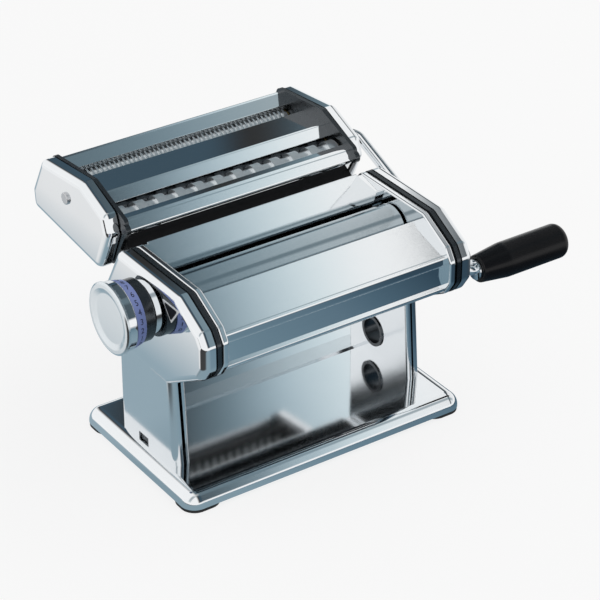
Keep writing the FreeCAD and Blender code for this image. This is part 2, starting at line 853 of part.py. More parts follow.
eyelet_outer = clamp_radius + eyelet_wall
left_notch = block(
    "left_notch", -left_leg_out - 1, -left_leg_out + leg_sheet + 1,
    8 - notch_length / 2, 8 + notch_length / 2, base_top - 1, base_top + notch_depth)
right_notch = block(
    "right_notch", right_leg_out - leg_sheet - 1, right_leg_out + 1,
    8 - notch_length / 2, 8 + notch_length / 2, base_top - 1, base_top + notch_depth)
outer_drill = rod("clamp_outer_drill", eyelet_outer, right_leg_out - leg_sheet - 1, right_leg_out + 1,
                  clamp_place, clamp_high)
inner_drill = rod("clamp_inner_drill", eyelet_outer, right_leg_in - 1, right_leg_in + leg_sheet + 0.5,
                  clamp_place, clamp_high)
leg_piece("left_leg_outer", -left_leg_out, leg_outer_flange - left_leg_out, leg_bend, [left_notch])
leg_piece("left_leg_inner", -left_leg_in, -left_leg_in - leg_inner_flange, leg_fold, [])
leg_piece("right_leg_outer", right_leg_out, right_leg_out - leg_outer_flange, leg_bend,
          [right_notch, outer_drill])
leg_piece("right_leg_inner", right_leg_in, right_leg_in + leg_inner_flange, leg_fold, [inner_drill])

eyelet_in = right_leg_in - eyelet_wall
keep(turned("clamp_eyelet", [
    (eyelet_in, clamp_radius),
    (right_leg_out, clamp_radius),
    (right_leg_out, eyelet_outer),
    (right_leg_in, eyelet_outer),
    (right_leg_in, clamp_radius + eyelet_lip),
    (eyelet_in, clamp_radius + eyelet_lip),
], clamp_place, clamp_high))

keep(block("rear_strap", -left_leg_in, right_leg_in, leg_rear - strap_wide, leg_rear,
           base_top, base_top + leg_sheet))

# Liners, side plates and end covers
block_open = gap_most - gap_rest
block_close = gap_rest - gap_least
tie_places = [
    (18 - end_nose, end_nose_low + 8),
    (slope_top_y + 3.8, slope_top_z - 16.9),
    (end_rear - 9, end_low + 8.5),
]
rear_bush = journal + fit + bush_wall
guide_hole = journal + block_close + clear * 2


def tie_holes(label, radius, x_from, x_to):
    drills = []
    for number, (y, z) in enumerate(tie_places):
        drills.append(rod("%s_tie_hole_%d" % (label, number), radius, x_from, x_to, y, z))
    return drills


for side_name, side in (("left", -1), ("right", 1)):
    def span(near, far):
        return (side * near, side * far) if side > 0 else (side * far, side * near)

    name = side_name + "_liner"
    low, high = span(liner_in, liner_in + liner_wall)
    liner = edged(name + "_sheet", end_corners, low, high)
    drills = tie_holes(name, tie_neck, low - 1, high + 1)
    drills.append(rod(name + "_front_hole", guide_hole, low - 1, high + 1, front_y, front_z))
    drills.append(rod(name + "_rear_hole", journal + 2 * clear, low - 1, high + 1, rear_y, rear_z))
    keep(without(name, liner, drills))

    name = side_name + "_side_plate"
    low, high = span(plate_in, plate_out)
    flush = slab(name + "_flush", end_corners, low, high)
    step_low, step_high = span(liner_in + liner_wall, plate_in)
    inner_step = slab(name + "_inner_step", end_step, step_low, step_high)
    step_low, step_high = span(plate_out, cover_in)
    outer_step = slab(name + "_outer_step", end_step, step_low, step_high)
    tongue = block(name + "_tongue", low, high, -tongue_front, tongue_rear, base_top, end_low + 8)
    foot_low, foot_high = span(plate_in, plate_in + tongue_foot)
    foot = block(name + "_foot", foot_low, foot_high, -tongue_front, tongue_rear, base_top, flange_top)
    whole = fused(name + "_whole", [flush, inner_step, outer_step, tongue, foot])
    drill_low, drill_high = span(liner_in, cover_out)
    drills = [rod(name + "_bush_hole", rear_bush, drill_low, drill_high, rear_y, rear_z)]
    drills.append(tilted(
        name + "_window", drill_low, drill_high,
        (-block_half - block_open - clear, block_half + block_close + clear),
        (-block_half - clear, block_half + clear), front_y, front_z, -roller_tilt.value))
    neck_low, neck_high = span(liner_in, plate_in)
    drills += tie_holes(name, tie_neck, neck_low, neck_high)
    for end_name, y in (("front", -tongue_front / 2), ("back", tongue_rear * 0.75)):
        drills.append(post("%s_%s_screw_hole" % (name, end_name), screw_radius, side * screw_x, y,
                           base_top - 1, flange_top + 1))
    if side > 0:
        drills.append(rod(name + "_clamp_hole", eyelet_outer, drill_low, drill_high, clamp_place, clamp_high))
    keep(without(name, whole, drills))

keep(cover("left_end_cover", end_corners, -cover_in, -cover_out,
           [(shaft_radius + clear, -knob_y, knob_z)]))
keep(cover("right_end_cover", end_corners, cover_in, cover_out,
           [(journal + 2 * clear, rear_y, rear_z)]))

ties = []
for number, (y, z) in enumerate(tie_places):
    ties.append(turned("tie_rod_%d" % number, [
        (-plate_in, zero),
        (plate_in, zero),
        (plate_in, tie_neck),
        (liner_in, tie_neck),
        (liner_in, tie_radius),
        (-liner_in, tie_radius),
        (-liner_in, tie_neck),
        (-plate_in, tie_neck),
    ], y, z))
keep(group("tie_rods", ties))

# Body panels
keep(bent("front_cover", [
    (6.4 - end_top_front, end_top - 8.9),
    (4.2 - end_top_front, end_top - 6.3, 0.8),
    (4.8 - end_slant, end_slant_high - 3.1),
    (4.6 - end_nose, end_nose_high + 2.4, 2.2),
    (4.4 - end_nose, end_nose_high - 2.6, 1.4),
    (6.1 - end_nose, end_nose_high - 4),
    (6.2 - end_nose, end_nose_low - 2.4),
    (4.6 - end_nose, end_nose_low - 4.2, 0.9),
    (0.3 - end_chin, end_chin_high + 2.1, 0.9),
    (5.5 - end_chin, end_chin_high + 1.9),
], sheet_wall, -liner_in, liner_in))
keep(bent("hopper_panel", [
    (end_top_rear - 1.4, end_top - 0.6),
    (rear_y - 0.87, rear_z + 17.45, 1.2),
    (rear_y + 2.5, rear_z + 16.2),
], sheet_wall, -hopper_half, hopper_half))
keep(bent("rear_cover", [
    (slope_top_y, slope_top_z),
    (slope_low_y, slope_low_z, 3),
    (slope_low_y, rear_low),
], sheet_wall, -liner_in, liner_in))

guides = []
for side_name, side in (("left", -1), ("right", 1)):
    low, high = (-liner_in, -hopper_half) if side < 0 else (hopper_half, liner_in)
    guides.append(slab("dough_guide_" + side_name, [
        (end_top_rear - 1.6, end_top - 0.5, 0.8),
        (front_y + 12.9, end_top - 2.9, 0.8),
        (front_y + 16.8, front_z + 5.6, 1.2),
        (front_y + 19.6, front_z + 2.4, 1.0),
        (rear_y - 1.07, rear_z + 16.85, 0.8),
    ], low, high))
keep(group("dough_guides", guides))

scraper_front = block(
    "scraper_front", -liner_in, liner_in, front_y - 15.6, front_y - 7.6, front_z - 22.8, front_z - 16.8)
scraper_rear = block(
    "scraper_rear", -liner_in, liner_in, rear_y - 3.7, rear_y + 3.3, rear_z - 22.2, rear_z - 16.8)
keep(group("scrapers", [scraper_front, scraper_rear]))

rail_middle_y = (slope_top_y + slope_low_y) / 2 + slope_y * sheet_wall / 2
rail_middle_z = (slope_top_z + slope_low_z) / 2 + slope_z * sheet_wall / 2
rails = []
for side_name, side in (("left", -1), ("right", 1)):
    rails.append(tilted(
        "rail_" + side_name, side * rail_place - rail_wide / 2, side * rail_place + rail_wide / 2,
        (zero, rail_reach), (-rail_long / 2, rail_long / 2), rail_middle_y, rail_middle_z, slope_degrees))
keep(group("cutter_rails", rails))

# Index mark and seat ring on the left cover
tip_y = -knob_y - mark_y
tip_z = knob_z + mark_z
keep(slab("index_mark", [
    (tip_y, tip_z, 1),
    (tip_y + mark_size / 2, tip_z + mark_tall, 0.8),
    (tip_y - mark_size / 2, tip_z + mark_tall, 0.8),
], -cover_out - mark_deep, -cover_out))
keep(turned("knob_seat_ring", [
    (-cover_out - seat_deep, seat_radius - seat_wide),
    (-cover_out, seat_radius - seat_wide),
    (-cover_out, seat_radius),
    (-cover_out - seat_deep, seat_radius),
], -knob_y, knob_z))


# Sheet rollers
def socket_tool(label, x_end, y, z):
    bore = rod(label + "_bore", socket_radius, x_end - socket_deep, x_end + 1, y, z)
    slot = block(label + "_slot", x_end - socket_deep, x_end + 1,
                 y - key_wide / 2, y + key_wide / 2, z, z + socket_radius + key_deep)
    return fused(label, [bore, slot])


journal_end = cover_in - clear / 2
rear_end = cover_out + 1
barrel = [
    (-journal_end, zero),
    (rear_end, zero),
    (rear_end, journal),
    (roller_half, journal),
    (roller_half, roller_radius, 0.8),
    (-roller_half, roller_radius, 0.8),
    (-roller_half, journal),
    (-journal_end, journal),
]
rear_blank = turned("rear_roller_blank", barrel, rear_y, rear_z)
keep(without("rear_roller", rear_blank, [socket_tool("rear_socket", rear_end, rear_y, rear_z)]))

gear_from = cover_in + clear
gear_to = gear_from + gear_wide
front_barrel = list(barrel)
front_barrel[1] = (gear_to, zero)
front_barrel[2] = (gear_to, journal)
keep(turned("front_roller", front_barrel, front_y, front_z))


def toothed(label, teeth, pitch, tip, root, bore, x_from, x_to, y, z, first_angle):
    spacing = 2 * math.pi * pitch / teeth
    points = []
    for tooth in range(teeth):
        middle = first_angle + 2 * math.pi * tooth / teeth
        outline = [(root, -0.24), (pitch, -0.16), (tip, -0.08), (tip, 0.08), (pitch, 0.16), (root, 0.24)]
        for radius, share in outline:
            angle = middle + share * spacing / radius
            points.append(vector(0, radius * math.cos(angle), radius * math.sin(angle)))
    wheel = Part.Face(Part.makePolygon(points + points[:1]))
    wheel = wheel.extrude(vector(x_to - x_from, 0, 0))
    hole = Part.makeCylinder(bore, x_to - x_from + 2, vector(-1, 0, 0), vector(1, 0, 0))
    return keep(feature(label, wheel.cut(hole), x_from, y, z))


gear_pitch = roller_radius.value + gap_least.value / 2
to_rear = math.atan2(-axis_sin, axis_cos)
teeth = int(gear_teeth.value)
roller_wheel = (teeth, gear_pitch, gear_pitch + tooth_tip.value, gear_pitch - tooth_root.value, journal.value)
toothed("front_roller_gear", *roller_wheel, gear_from.value, gear_to.value,
        front_y.value, front_z.value, to_rear)
toothed("rear_roller_gear", *roller_wheel, gear_from.value, gear_to.value,
        rear_y.value, rear_z.value, to_rear + math.pi + math.pi / teeth)

bushes = []
blocks = []
for side_name, side in (("left", -1), ("right", 1)):
    low = side * (plate_in - seam + clear) if side > 0 else side * (cover_in - clear)
    high = side * (cover_in - clear) if side > 0 else side * (plate_in - seam + clear)
    ring = rod("rear_bush_%s_ring" % side_name, rear_bush, low, high, rear_y, rear_z)
    bore = rod("rear_bush_%s_bore" % side_name, journal + fit, low - 1, high + 1, rear_y, rear_z)
    bushes.append(without("rear_bush_" + side_name, ring, [bore]))
    cube = tilted("block_%s_cube" % side_name, low, high, (-block_half, block_half),
                  (-block_half, block_half), front_y, front_z, -roller_tilt.value)
    bore = rod("block_%s_bore" % side_name, journal + fit, low - 1, high + 1, front_y, front_z)
    blocks.append(without("block_" + side_name, cube, [bore]))
keep(group("rear_roller_bushes", bushes))
keep(group("front_roller_blocks", blocks))

# Regulator and knob
knob_x = -knob_end
core_x = knob_x + knob_face_deep
dial_x = core_x + collar_deep
band_x = dial_x + dial_deep
core_in = knob_x + core_deep
floor_x = core_in - core_floor
shaft_in = -cover_in - clear * 3
flange_x = floor_x - spring_long - 4 - clear
shaft_stem = turned("regulator_stem", [
    (flange_x - flange_wall, zero),
    (shaft_in, zero),
    (shaft_in, shaft_radius),
    (flange_x, shaft_radius),
    (flange_x, shaft_flange),
    (flange_x - flange_wall, shaft_flange),
], -knob_y, knob_z)
cam = rod("regulator_cam", cam_radius, shaft_in - cam_wide, shaft_in, cam_offset - knob_y, knob_z)
keep(fused("regulator_shaft", [shaft_stem, cam]))
keep(turned("knob_spring", [
    (flange_x, spring_inner),
    (flange_x + spring_long, spring_inner),
    (flange_x + spring_long, spring_outer),
    (flange_x, spring_outer),
], -knob_y, knob_z))
keep(turned("knob_core", [
    (core_x, zero),
    (core_x + core_cap, zero),
    (core_x + core_cap, core_room),
    (floor_x, core_room),
    (floor_x, shaft_radius + fit),
    (core_in, shaft_radius + fit),
    (core_in, core_radius, 0.8),
    (band_x, core_radius),
    (band_x, core_step),
    (dial_x, core_step),
    (dial_x, core_radius),
    (core_x, core_radius),
], -knob_y, knob_z))
keep(turned("dial_ring", [
    (dial_x, core_step),
    (band_x, core_step),
    (band_x, dial_small),
    (dial_x, dial_radius),
], -knob_y, knob_z))
keep(turned("knob_collar", [
    (core_x, core_radius),
    (dial_x, core_radius),
    (dial_x, collar_radius, 0.6),
    (core_x, collar_radius),
], -knob_y, knob_z))
keep(turned("knob_face", [
    (core_x, zero),
    (core_x, knob_face_radius),
    (knob_x + 0.8, knob_face_radius, 0.5),
    (knob_x, knob_face_radius - 1.2, 0.8),
    (knob_x, knob_face_radius - 3.4, 0.8),
    (knob_x + 1.3, knob_face_radius - 6.4, 2),
    (knob_x + 1.3, zero),
], -knob_y, knob_z))

# Cutter head
cutter_in = plate_in - cutter_plate_wall
cutter_half = cutter_in - end_gap
cutter_plate_out = cutter_in + cutter_plate_wall
cutter_cover_in = cutter_plate_out + cutter_seam
cutter_out = cutter_cover_in + cutter_cover_deep
cutter_high = slope_top_z + cutter_rise
panel_front_y = slope_top_y + slope_y * cutter_span
panel_front_z = slope_top_z + slope_z * cutter_span
wide_nip = panel_front_y + nip_back
narrow_nip = wide_nip + nip_apart
tie_y = (wide_nip + narrow_nip) / 2
tie_z = cutter_high - tie_drop
screw_y = tie_y + screw_back
screw_z = cutter_high + screw_rise
plate_front_y = panel_front_y - 1.8
plate_front_z = panel_front_z + 0.4
cutter_plate_corners = [
    (narrow_nip + 15.8, cutter_high + 17.8, 4),
    (wide_nip + 7.5, cutter_high + 21.6, 5),
    (plate_front_y + 1, cutter_high + 10, 3),
    (plate_front_y, plate_front_z, 3),
    (plate_front_y + slope_z * plate_down, plate_front_z - slope_y * plate_down, 3),
    (narrow_nip + 26.4, cutter_high - 17.4, 4),
    (narrow_nip + 27.4, cutter_high - 5.6, 4),
]
cutter_corners = [
    (narrow_nip + 15.5, cutter_high + 17.5, end_round),
    (wide_nip + 7.7, cutter_high + 22, end_round),
    (wide_nip - 16.8, cutter_high + 12, end_round),
    (wide_nip - 20.8, cutter_high + 0.5, end_round),
    (wide_nip - 8.8, cutter_high - 26, end_round),
    (narrow_nip + 26.6, cutter_high - 17.8, end_round),
    (narrow_nip + 27.8, cutter_high - 5.6, end_round),
]
cutter_step = scaled(cutter_corners, tie_y + 4, cutter_high - 2, step_share)

wide_front = wide_nip - cutter_apart / 2
wide_rear = wide_nip + cutter_apart / 2
narrow_front = narrow_nip - cutter_apart / 2
narrow_rear = narrow_nip + cutter_apart / 2
cutter_axes = [wide_front, wide_rear, narrow_front, narrow_rear]
cutter_ties = [(tie_y, tie_z), (narrow_nip + 18, cutter_high - 6.5)]

bushes = []
for side_name, side in (("left", -1), ("right", 1)):
    def head_span(near, far):
        return (side * near, side * far) if side > 0 else (side * far, side * near)

    name = "cutter_%s_plate" % side_name
    low, high = head_span(cutter_in, cutter_plate_out)
    flush = slab(name + "_flush", cutter_plate_corners, low, high)
    step_low, step_high = head_span(cutter_plate_out, cutter_cover_in)
    step = slab(name + "_step", cutter_step, step_low, step_high)
    drill_low, drill_high = head_span(cutter_in - 1, cutter_cover_in + 1)
    drills = []
    for number, y in enumerate(cutter_axes):
        drills.append(rod("%s_hole_%d" % (name, number), cutter_bush, drill_low, drill_high, y, cutter_high))
        bush_low, bush_high = head_span(cutter_in - clear, cutter_cover_in)
        ring = rod("%s_ring_%d" % (name, number), cutter_bush, bush_low, bush_high, y, cutter_high)
        bore = rod("%s_bore_%d" % (name, number), cutter_journal + fit, bush_low - 1, bush_high + 1,
                   y, cutter_high)
        bushes.append(without("%s_bush_%d" % (name, number), ring, [bore]))
    boss_low, boss_high = head_span(cutter_in, cutter_cover_in - clear)
    boss = rod(name + "_boss", boss_radius, boss_low, boss_high, plate_front_y + 1.6, plate_front_z + 1.6)
    keep(without(name, fused(name + "_whole", [flush, step, boss]), drills))
keep(group("cutter_bushes", bushes))

socket_hole = cutter_journal + 2 * clear
keep(cover("cutter_left_cover", cutter_corners, -cutter_cover_in, -cutter_out,
           [(cover_screw, screw_y, screw_z)]))
keep(cover("cutter_right_cover", cutter_corners, cutter_cover_in, cutter_out,
           [(socket_hole, wide_rear, cutter_high), (socket_hole, narrow_rear, cutter_high),
            (cover_screw, tie_y, tie_z)]))


def cover_screw_piece(label, side, y, z):
    near = side * cutter_cover_in
    face = side * cutter_out
    top = side * (cutter_out + cover_screw_deep)
    return turned(label, [
        (near, zero),
        (top, zero),
        (top, cover_screw_head, 0.8),
        (face, cover_screw_head),
        (face, cover_screw),
        (near, cover_screw),
    ], y, z)


keep(group("cutter_cover_screws", [
    cover_screw_piece("cutter_screw_left", -1, screw_y, screw_z),
    cover_screw_piece("cutter_screw_right", 1, tie_y, tie_z),
]))

lower_y = panel_front_y + slope_z * 20
lower_z = panel_front_z - slope_y * 20
keep(bent("cutter_front_panel", [
    (wide_nip - 14, cutter_high + 7.2),
    (wide_nip - 20.3, cutter_high + 7.6, 3),
    (panel_front_y, panel_front_z, 2.5),
    (lower_y, lower_z),
], cutter_sheet, -cutter_in, cutter_in))
keep(bent("cutter_centre_panel", [
    (narrow_nip - 7.5, cutter_high + 10.6),
    (wide_nip + 4.9, cutter_high + 13.2, 1),
    (wide_nip + 0.5, cutter_high + 7.8),
], cutter_sheet, -cutter_in, cutter_in))
keep(bent("cutter_back_panel", [
    (narrow_nip + 7.3, cutter_high + 9.9),
    (narrow_nip + back_reach, cutter_high + back_rise, back_bend),
    (narrow_nip + 25.3, cutter_high - 4.6, 3),
    (narrow_nip + 24.2, cutter_high - 15.2),
], cutter_sheet, -cutter_in, cutter_in))

ties = []
for number, (y, z) in enumerate(cutter_ties):
    ties.append(rod("cutter_tie_%d" % number, tie_neck, -cutter_in, cutter_in, y, z))
keep(group("cutter_tie_rods", ties))

finger_top = cutter_high - cutter_tip - clear * 2


def comb(label, y_from, y_to, y_finger, period, count, wide):
    bar = block(label + "_bar", -cutter_in, cutter_in, y_from, y_to, finger_top - 9, finger_top - 5)
    parts = [bar]
    for number in range(count):
        x = (number - (count - 1) / 2) * period
        parts.append(block("%s_finger_%d" % (label, number), x - wide / 2, x + wide / 2,
                           y_finger, y_finger + 2, finger_top - 5, finger_top))
    return keep(fused(label, parts))


comb("wide_comb", wide_front - 4, wide_front, wide_front - 2, wide_period, 11, wide_period / 3)
comb("narrow_comb", narrow_rear, narrow_rear + 4, narrow_rear, narrow_period * 2, 23, narrow_period / 2)

hook_base = rail_reach + sheet_wall / 2 + clear
hook_face = cutter_span - cutter_sheet / 2
hook_half = rail_wide / 2 + clear
hook_y = (slope_top_y + slope_low_y) / 2
hook_z = (slope_top_z + slope_low_z) / 2
hook_run = (-rail_long / 2, rail_long / 2 - 1)
hooks = [tilted("hook_strip", -cutter_in, cutter_in, (hook_base, hook_face), hook_run, hook_y, hook_z,
                slope_degrees)]
for side_name, side in (("left", -1), ("right", 1)):
    middle = side * rail_place
    first = tilted("hook_%s_first" % side_name, middle - hook_half - hook_wall, middle - hook_half,
                   (sheet_wall / 2 + 1.5, hook_base), hook_run, hook_y, hook_z, slope_degrees)
    second = tilted("hook_%s_second" % side_name, middle + hook_half, middle + hook_half + hook_wall,
                    (sheet_wall / 2 + 1.5, hook_base), hook_run, hook_y, hook_z, slope_degrees)
    hooks += [first, second]
keep(fused("cutter_hooks", hooks))


def cutter_roller(label, y, period, rings, socket):
    half = period / 4 - ring_gap.value / 2
    length = cutter_half.value
    left_end = -cutter_cover_in.value - 1
    gear_end = cutter_cover_in.value + clear.value + gear_wide.value
    right_end = cutter_out.value - 1 if socket else gear_end
    tip = cutter_tip.value
    core = cutter_root.value
    neck = cutter_journal.value
    outline = [(left_end, 0), (left_end, neck), (-length, neck), (-length, core)]
    for ring in range(rings):
        middle = (ring - (rings - 1) / 2) * period
        outline += [(middle - half, core), (middle - half, tip), (middle + half, tip), (middle + half, core)]
    outline += [(length, core), (length, neck), (right_end, neck), (right_end, 0)]
    points = [vector(x, radius, 0) for x, radius in outline]
    face = Part.Face(Part.makePolygon(points + points[:1]))
    solid = face.revolve(vector(0, 0, 0), vector(1, 0, 0), 360)
    if socket:
        deep = socket_deep.value
        bore = Part.makeCylinder(socket_radius.value, deep + 1, vector(right_end - deep, 0, 0), vector(1, 0, 0))
        slot = Part.makeBox(deep + 1, key_wide.value, socket_radius.value + key_deep.value,
                            vector(right_end - deep, -key_wide.value / 2, 0))
        solid = solid.cut(bore.fuse(slot))
    return keep(feature(label, solid, 0, y.value, cutter_high.value))


def ring_count(period):
    return int((2 * cutter_half.value - period.value / 2) / period.value)


wide_rings = ring_count(wide_period)
narrow_rings = ring_count(narrow_period)
cutter_roller("wide_drive_cutter", wide_rear, wide_period.value, wide_rings, True)
cutter_roller("wide_driven_cutter", wide_front, wide_period.value, wide_rings + 1, False)
cutter_roller("narrow_drive_cutter", narrow_rear, narrow_period.value, narrow_rings, True)
cutter_roller("narrow_driven_cutter", narrow_front, narrow_period.value, narrow_rings + 1, False)

cutter_pitch = cutter_apart.value / 2
teeth = int(cutter_teeth.value)
cutter_wheel = (teeth, cutter_pitch, cutter_pitch + cutter_tooth_tip.value,
                cutter_pitch - cutter_tooth_root.value, cutter_journal.value)
wheel_from = cutter_cover_in.value + clear.value
wheel_to = wheel_from + gear_wide.value
for label, y, angle in (
        ("wide_drive_gear", wide_rear, math.pi),
        ("wide_driven_gear", wide_front, math.pi / teeth),
        ("narrow_drive_gear", narrow_rear, math.pi),
        ("narrow_driven_gear", narrow_front, math.pi / teeth)):
    toothed(label, *cutter_wheel, wheel_from, wheel_to, y.value, cutter_high.value, angle)

# Crank: a spigot with a key, a bent rod and a pin that carries the grip
crank_plane = cutter_out + crank_offset
grip_start = crank_plane + crank_bend + clear - collar_wall
grip_in = grip_start + collar_wall + clear
grip_end = grip_in + grip_long
hub = vector(0, wide_rear.value, cutter_high.value)
hand = vector(0, -grip_y.value, grip_z.value)
arm = (hand - hub).normalize()
plane_x = crank_plane.value
rod_start = cutter_out.value + clear.value
turn_reach = crank_bend.value
step_x = vector(1, 0, 0)
first_corner = hub + step_x * plane_x
second_corner = hand + step_x * plane_x
first_in = first_corner - step_x * turn_reach
first_out = first_corner + arm * turn_reach
second_in = second_corner - arm * turn_reach
second_out = second_corner + step_x * turn_reach
rod_end = hand + step_x * (grip_start.value + collar_wall.value)


def straight(start, end, radius):
    return Part.makeCylinder(radius, (end - start).Length, start, end - start)


def bend(start, direction, toward):
    disc = Part.Face(Part.Wire([Part.makeCircle(crank_radius.value, start, direction)]))
    return disc.revolve(start + toward * turn_reach, direction.cross(toward), 90)


rod_from = hub + step_x * rod_start
bent_rod = straight(rod_from, first_in, crank_radius.value).fuse([
    bend(first_in, step_x, arm),
    straight(first_out, second_in, crank_radius.value),
    bend(second_in, arm, step_x),
    straight(second_out, rod_end, crank_radius.value),
])
spigot_radius = socket_radius.value - fit.value
socket_mouth = cutter_out.value - 1
spigot_from = socket_mouth - socket_deep.value + 1
spigot = Part.makeCylinder(spigot_radius, rod_start - spigot_from, hub + step_x * spigot_from, step_x)
key_width = key_wide.value - 2 * fit.value
key_corner = vector(spigot_from, hub.y - key_width / 2, hub.z)
spigot = spigot.fuse(Part.makeBox(
    socket_mouth - spigot_from, key_width, spigot_radius + key_deep.value, key_corner))
pin_end = grip_end.value - 8
pin = Part.makeCylinder(grip_pin.value, pin_end - rod_end.x, rod_end, step_x)
washer_start = rod_end - step_x * collar_wall.value
washer = Part.makeCylinder(grip_small.value - 2, collar_wall.value, washer_start, step_x)
crank = bent_rod.fuse([spigot, pin, washer])
keep(feature("crank_rod", crank, 0, 0, 0))

pin_room = grip_end - 8 + clear
keep(turned("crank_grip", [
    (grip_in, grip_pin + fit),
    (pin_room, grip_pin + fit),
    (pin_room, zero),
    (grip_end, zero),
    (grip_end, grip_radius, 4.5),
    (grip_in + grip_taper, grip_radius, 20),
    (grip_in, grip_small, 1.2),
], -grip_y, grip_z))

document.recompute()

for item in document.Objects:
    for word in item.State:
        if word in ("Invalid", "Error"):
            raise RuntimeError("%s is %s: %s" % (item.Label, word, item.getStatusString()))

os.makedirs("parts", exist_ok=True)
for label, piece in pieces.items():
    shape = piece.Shape
    if shape.isNull() or not shape.isValid() or not shape.Solids:
        raise RuntimeError("%s has no good shape" % label)
    shape.exportStep("parts/%s.step" % label)
    box = shape.BoundBox
    print("%-22s %d solids %9.0f mm3  x %.1f..%.1f y %.1f..%.1f z %.1f..%.1f" % (
        label, len(shape.Solids), shape.Volume,
        box.XMin, box.XMax, box.YMin, box.YMax, box.ZMin, box.ZMax))
print(len(pieces), "pieces")
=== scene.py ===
import math

import bmesh
import bpy
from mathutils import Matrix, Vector


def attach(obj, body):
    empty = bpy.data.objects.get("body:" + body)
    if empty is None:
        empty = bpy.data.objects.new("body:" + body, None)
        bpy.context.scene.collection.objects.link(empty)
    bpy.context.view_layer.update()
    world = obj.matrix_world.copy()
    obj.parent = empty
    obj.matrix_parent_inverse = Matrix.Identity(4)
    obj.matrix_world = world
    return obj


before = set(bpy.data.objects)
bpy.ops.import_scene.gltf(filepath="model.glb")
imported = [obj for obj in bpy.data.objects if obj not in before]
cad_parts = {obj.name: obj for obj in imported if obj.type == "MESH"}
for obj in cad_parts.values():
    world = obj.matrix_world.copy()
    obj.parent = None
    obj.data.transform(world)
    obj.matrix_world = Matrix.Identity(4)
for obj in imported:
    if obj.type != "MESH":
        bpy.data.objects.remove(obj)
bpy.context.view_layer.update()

scene = bpy.context.scene
scene.view_settings.view_transform = "Standard"
mm = 0.001
white = (1, 1, 1, 1)


# a socket that can be used in sums; each operator adds a Math node
class Wire:
    def __init__(self, sheet, socket):
        self.sheet = sheet
        self.socket = socket

    def reckon(self, operation, first, second):
        return self.sheet.add("ShaderNodeMath", {"operation": operation}, {0: first, 1: second})

    def __add__(self, other):
        return self.reckon("ADD", self, other)

    def __radd__(self, other):
        return self.reckon("ADD", other, self)

    def __sub__(self, other):
        return self.reckon("SUBTRACT", self, other)

    def __rsub__(self, other):
        return self.reckon("SUBTRACT", other, self)

    def __mul__(self, other):
        return self.reckon("MULTIPLY", self, other)

    def __rmul__(self, other):
        return self.reckon("MULTIPLY", other, self)

    def __truediv__(self, other):
        return self.reckon("DIVIDE", self, other)

    def __rtruediv__(self, other):
        return self.reckon("DIVIDE", other, self)

    def out(self, name):
        return Wire(self.sheet, self.socket.node.outputs[name])


# one node tree, filled node by node
class NodeSheet:
    def __init__(self, tree):
        self.tree = tree
        tree.nodes.clear()

    def add(self, kind, settings=None, sockets=None, take=0):
        made = self.tree.nodes.new(kind)
        for key, value in (settings or {}).items():
            if key != "stops":
                setattr(made, key, value)
                continue
            marks = made.color_ramp.elements
            while len(marks) < len(value):
                marks.new(0.5)
            for mark, (place, tone) in zip(marks, value):
                mark.position = place
                mark.color = (*tone, 1) if isinstance(tone, tuple) else (tone, tone, tone, 1)
        for key, value in (sockets or {}).items():
            if isinstance(value, Wire):
                self.tree.links.new(value.socket, made.inputs[key])
            else:
                made.inputs[key].default_value = value
        return Wire(self, made.outputs[take]) if made.outputs else None

    def blend(self, share, first, second):
        sockets = {0: share, 6: first, 7: second}    # factor and the two colours of a colour Mix
        return self.add("ShaderNodeMix", {"data_type": "RGBA"}, sockets, take=2)

    def ramp(self, value, stops):
        return self.add("ShaderNodeValToRGB", {"stops": stops}, {"Fac": value})

    def mixShader(self, share, first, second):
        return self.add("ShaderNodeMixShader", None, {0: share, 1: first, 2: second})


class Finish(NodeSheet):
    def __init__(self, name):
        self.material = bpy.data.materials.new(name)
        self.material.use_nodes = True
        super().__init__(self.material.node_tree)
        self.place = self.add("ShaderNodeTexCoord").out("Object")

    def noise(self, scale, detail, stretch=(1, 1, 1), rough=0.55):
        where = self.add("ShaderNodeMapping", None, {"Vector": self.place, "Scale": stretch})
        return self.add("ShaderNodeTexNoise", None, {
            "Vector": where, "Scale": scale, "Detail": detail, "Roughness": rough}).out("Fac")

    def bump(self, height, strength, depth, under=None):
        sockets = {"Height": height, "Strength": strength, "Distance": depth}
        if under:
            sockets["Normal"] = under
        return self.add("ShaderNodeBump", None, sockets)

    def surface(self, **sockets):
        named = {key.replace("_", " "): value for key, value in sockets.items()}
        shader = self.add("ShaderNodeBsdfPrincipled", None, named)
        self.add("ShaderNodeOutputMaterial", None, {"Surface": shader})
        return self.material


# finishes: tones, grain and relief of each kind; a relief is its strength and its depth in metres

chromeLook = {
    "tone": (0.88, 0.90, 0.915, 1), "shade": (0.83, 0.855, 0.875, 1),
    "patches": {"scale": 26, "detail": 4},
    "hairs": {"scale": 60, "detail": 2, "stretch": (1, 24, 24)},
    "wave": {"scale": 16, "detail": 1},
    "hairRough": 0.03, "waveRelief": (0.06, 0.0012), "hairRelief": (0.03, 0.00004),
}


def makeMirrorChrome(name, rough, smudge):
    finish = Finish(name)
    patches = finish.noise(**chromeLook["patches"])
    hairs = finish.noise(**chromeLook["hairs"])
    wave = finish.noise(**chromeLook["wave"])
    tone = finish.blend(patches, chromeLook["tone"], chromeLook["shade"])
    roughness = patches * smudge + hairs * chromeLook["hairRough"] + rough
    relief = finish.bump(wave, *chromeLook["waveRelief"])
    relief = finish.bump(hairs, *chromeLook["hairRelief"], relief)
    return finish.surface(Base_Color=tone, Metallic=1.0, Roughness=roughness, Normal=relief)


satinLook = {
    "tone": (0.90, 0.915, 0.925, 1), "shade": (0.83, 0.855, 0.87, 1),
    "lines": {"scale": 90, "detail": 4, "stretch": (0.6, 22, 22), "rough": 0.7},
    "patches": {"scale": 34, "detail": 3},
    "lineRough": 0.05, "patchRough": 0.03, "lineRelief": (0.12, 0.00005),
}


